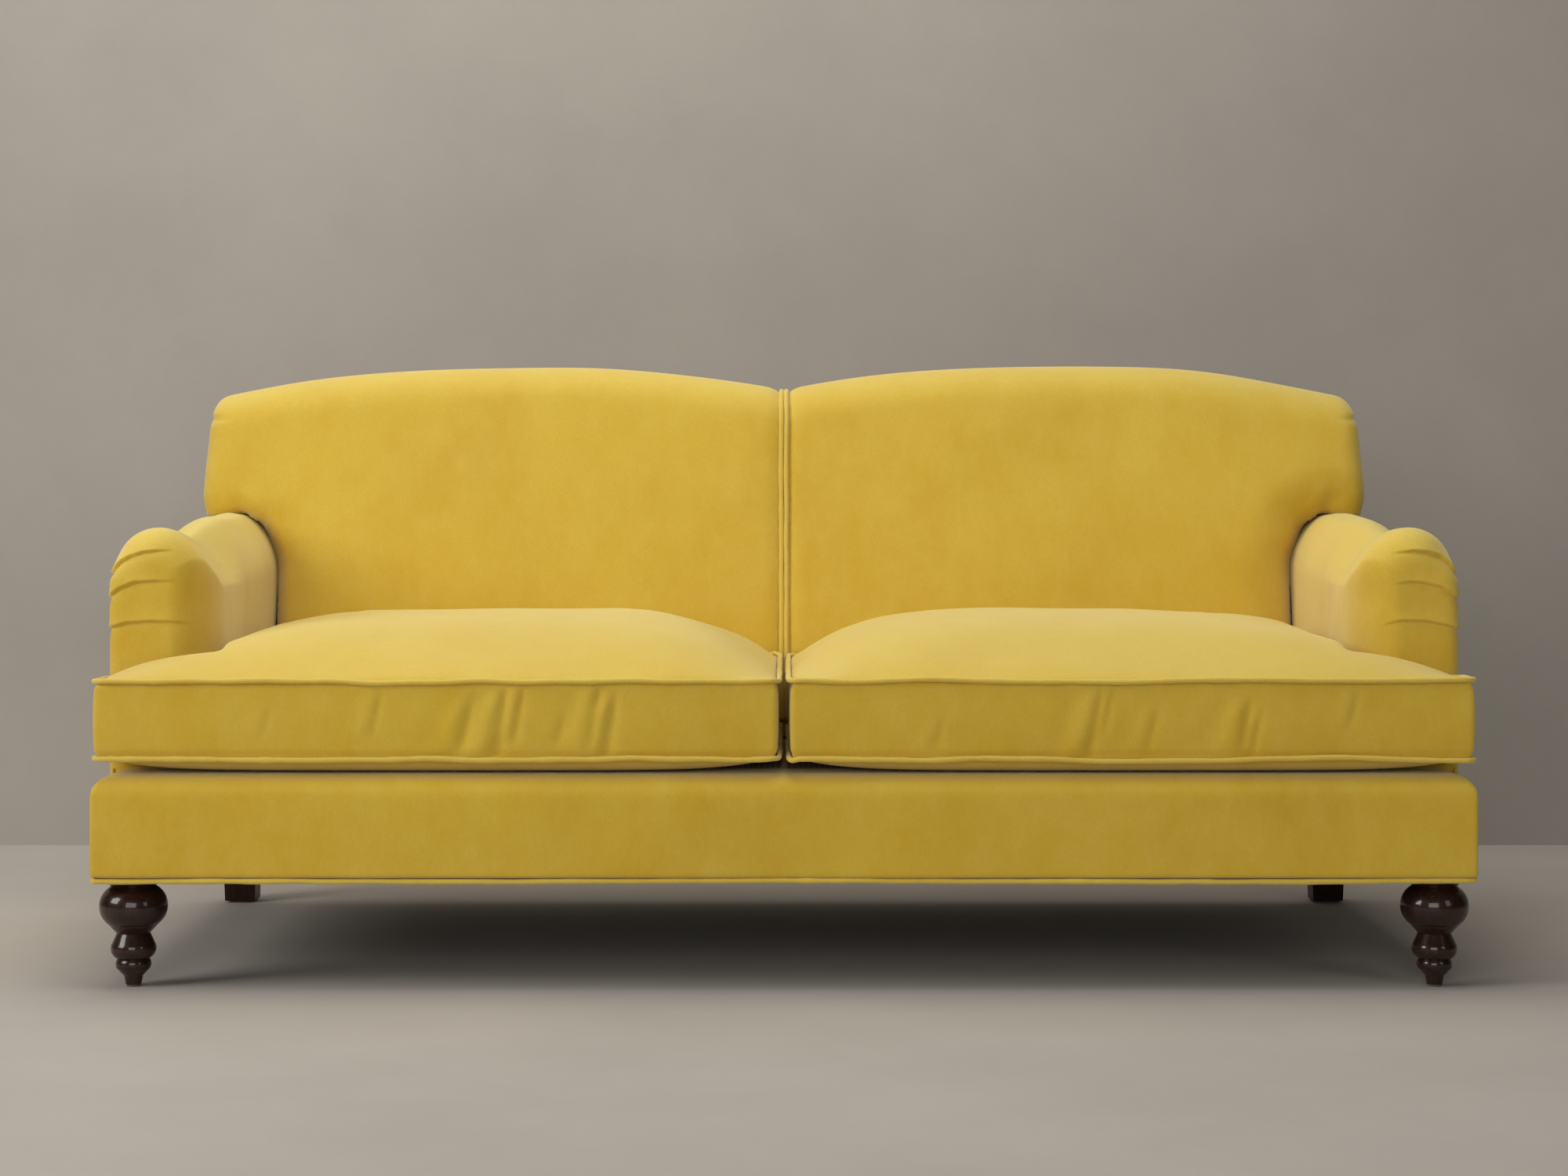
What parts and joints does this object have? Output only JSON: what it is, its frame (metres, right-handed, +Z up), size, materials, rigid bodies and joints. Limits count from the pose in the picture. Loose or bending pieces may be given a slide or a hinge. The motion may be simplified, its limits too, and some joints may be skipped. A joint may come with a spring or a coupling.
{
  "type": "english roll arm sofa",
  "caption": "Low roll arm sofa with a tight crowned back, pleated rolled arms, loose T-shaped seat cushions, a padded base border and turned front feet.",
  "frame": {"origin": "on the floor, under the middle of the sofa's outer box", "axes": "+X along the width to the right of someone facing the sofa, +Y from the front to the rear, +Z up"},
  "size_m": [1.83, 0.9717, 0.862],
  "materials": {
    "yellow_velvet": "matte",
    "dark_turned_wood": "gloss",
    "frame_hardwood": "matte",
    "spring_steel": "satin",
    "plated_steel": "satin",
    "glide_felt": "matte",
    "black_cambric": "matte",
    "cushion_filling": "matte",
    "zip_tape": "matte",
    "deck_cloth": "matte"
  },
  "bodies": {
    "sofa": {"back_crest_rail": "frame_hardwood", "back_double_welt": "yellow_velvet", "back_spring_clips": "plated_steel", "back_springs": "spring_steel", "base_welt": "yellow_velvet", "centre_back_post": "frame_hardwood", "corner_blocks": "frame_hardwood", "dust_cover": "black_cambric", "foot_glides": "glide_felt", "foot_hanger_bolts": "plated_steel", "foot_lock_nuts": "plated_steel", "front_border": "yellow_velvet", "front_seat_rail": "frame_hardwood", "left_arm_pad": "yellow_velvet", "left_arm_stump": "frame_hardwood", "left_arm_tack_rail": "frame_hardwood", "left_arm_top_rail": "frame_hardwood", "left_back_post": "frame_hardwood", "left_front_foot": "dark_turned_wood", "left_inside_back": "yellow_velvet", "left_outside_arm": "yellow_velvet", "left_rear_leg": "dark_turned_wood", "left_side_rail": "frame_hardwood", "lower_back_rails": "frame_hardwood", "outside_back": "yellow_velvet", "rear_seat_rail": "frame_hardwood", "right_arm_pad": "yellow_velvet", "right_arm_stump": "frame_hardwood", "right_arm_tack_rail": "frame_hardwood", "right_arm_top_rail": "frame_hardwood", "right_back_post": "frame_hardwood", "right_front_foot": "dark_turned_wood", "right_inside_back": "yellow_velvet", "right_outside_arm": "yellow_velvet", "right_rear_leg": "dark_turned_wood", "right_side_rail": "frame_hardwood", "seat_deck": "deck_cloth", "seat_spring_clips": "plated_steel", "seat_springs": "spring_steel", "seat_stretchers": "frame_hardwood"},
    "left_cushion": {"left_cushion_bottom_welt": "yellow_velvet", "left_cushion_core": "cushion_filling", "left_cushion_cover": "yellow_velvet", "left_cushion_top_welt": "yellow_velvet", "left_zip_tape": "zip_tape"},
    "right_cushion": {"right_cushion_bottom_welt": "yellow_velvet", "right_cushion_core": "cushion_filling", "right_cushion_cover": "yellow_velvet", "right_cushion_top_welt": "yellow_velvet", "right_zip_tape": "zip_tape"},
    "left_zip": {"left_zip_slider": "plated_steel"},
    "right_zip": {"right_zip_slider": "plated_steel"}
  },
  "joints": [
    {"name": "left_cushion_lift", "type": "slide", "parent": "sofa", "child": "left_cushion", "axis": [0, 0, 1], "range_m": [0, 0.35]},
    {"name": "right_cushion_lift", "type": "slide", "parent": "sofa", "child": "right_cushion", "axis": [0, 0, 1], "range_m": [0, 0.35]},
    {"name": "left_zip_slide", "type": "slide", "parent": "left_cushion", "child": "left_zip", "axis": [-1, 0, 0], "range_m": [0, 0.6]},
    {"name": "right_zip_slide", "type": "slide", "parent": "right_cushion", "child": "right_zip", "axis": [1, 0, 0], "range_m": [0, 0.6]}
  ]
}
